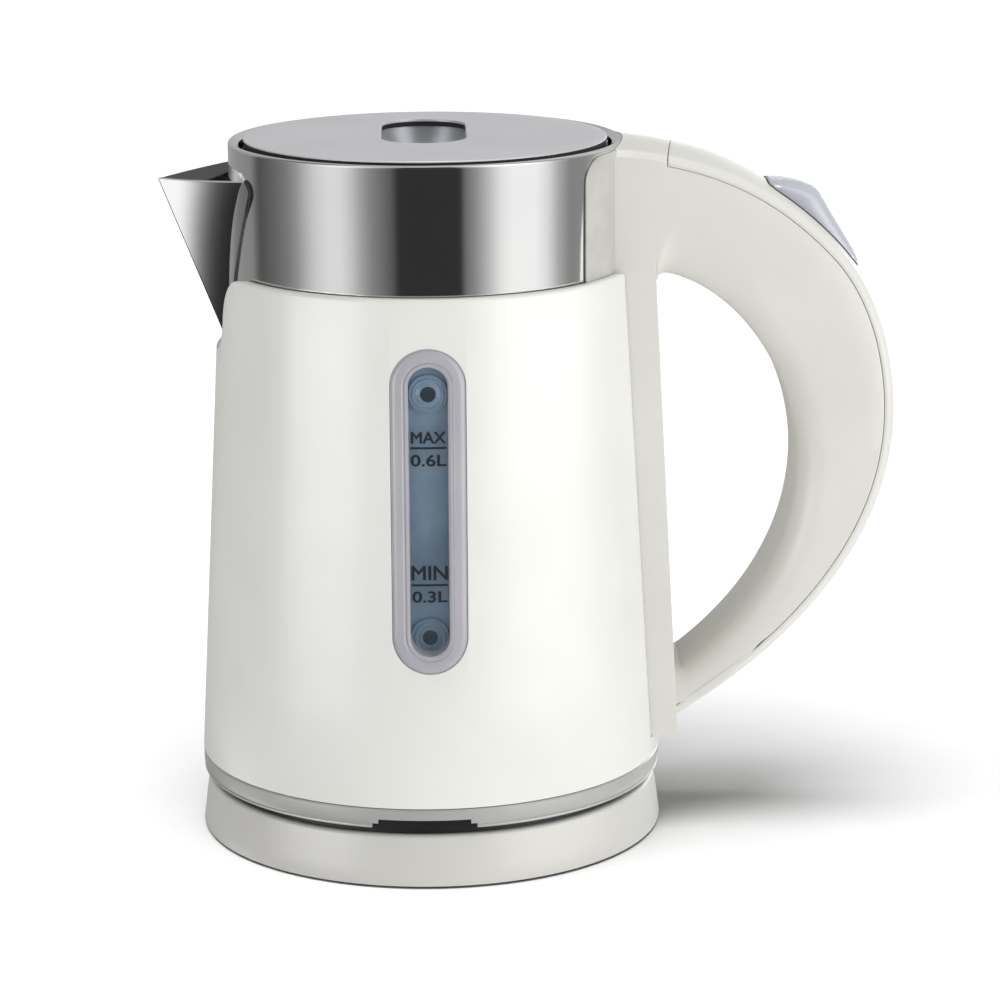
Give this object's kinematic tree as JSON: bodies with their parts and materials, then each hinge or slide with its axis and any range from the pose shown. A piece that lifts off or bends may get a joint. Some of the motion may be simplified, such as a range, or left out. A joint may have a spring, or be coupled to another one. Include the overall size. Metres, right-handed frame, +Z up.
{
  "type": "electric kettle",
  "caption": "Compact cordless kettle: steel pot in a white shell with a loop handle, folded spout, side water gauge, lift-off lid, boil switch and a round power base.",
  "frame": {"origin": "on the axis of the jug and of the base, in the plane that the feet stand on", "axes": "+Z up along the jug axis, +X towards the handle, -X towards the spout, -Y towards the water gauge, +Y towards the cord inlet"},
  "size_m": [0.1947, 0.1248, 0.1871],
  "materials": {
    "white_plastic": "satin",
    "lid_plastic": "satin",
    "trim_plastic": "matt",
    "rocker_plastic": "painted satin",
    "black_plastic": "gloss",
    "inner_plastic": "moulded",
    "steel": "polished",
    "zinc": "zinc plated",
    "aluminium": "cast",
    "copper": "plain",
    "silicone": "moulded",
    "clear_silicone": "moulded",
    "window_plastic": "clear, gloss",
    "cable_sleeve": "plain"
  },
  "bodies": {
    "base": {"base_cover": "white_plastic", "base_plate": "white_plastic", "foot_ring": "silicone", "base_connector": "black_plastic", "base_contacts": "copper", "base_screws": "zinc"},
    "socket": {"socket_housing": "black_plastic", "socket_contacts": "copper"},
    "jug": {"pot": "steel", "spout": "steel", "outer_shell": "white_plastic", "shell_seal": "silicone", "trim_ring": "trim_plastic", "jug_base": "white_plastic", "jug_screws": "zinc", "heater_plate": "aluminium", "heating_element": "aluminium", "control_unit": "black_plastic", "dry_boil_discs": "steel", "control_screws": "zinc", "gauge_window": "window_plastic", "gauge_back": "inner_plastic", "gauge_seals": "clear_silicone", "gauge_nozzles": "steel", "gauge_nuts": "steel", "handle_strap": "steel", "handle_nuts": "zinc", "handle_body": "white_plastic", "handle_cover": "white_plastic", "steam_tube": "inner_plastic", "switch_housing": "black_plastic", "steam_disc": "steel", "switch_contacts": "copper", "toggle_spring": "steel", "rocker_pin": "zinc", "switch_leads": "cable_sleeve"},
    "switch": {"switch_rocker": "rocker_plastic"},
    "lid": {"lid_cover": "lid_plastic", "grip_cup": "lid_plastic", "lid_plug": "inner_plastic", "lid_seal": "clear_silicone", "lid_plate": "steel", "lid_screws": "zinc"}
  },
  "joints": [
    {"name": "jug_lift", "type": "slide", "parent": "base", "child": "socket", "axis": [0, 0, 1], "range_m": [0, 0.06]},
    {"name": "jug_swivel", "type": "hinge", "parent": "socket", "child": "jug", "pos_m": [0, 0, 0], "axis": [0, 0, 1], "continuous": true},
    {"name": "lid_lift", "type": "slide", "parent": "jug", "child": "lid", "axis": [0, 0, 1], "range_m": [0, 0.045]},
    {"name": "switch_rock", "type": "hinge", "parent": "jug", "child": "switch", "pos_m": [0.1, 0, 0.16035], "axis": [0, 1, 0], "range_deg": [0, 8]}
  ]
}
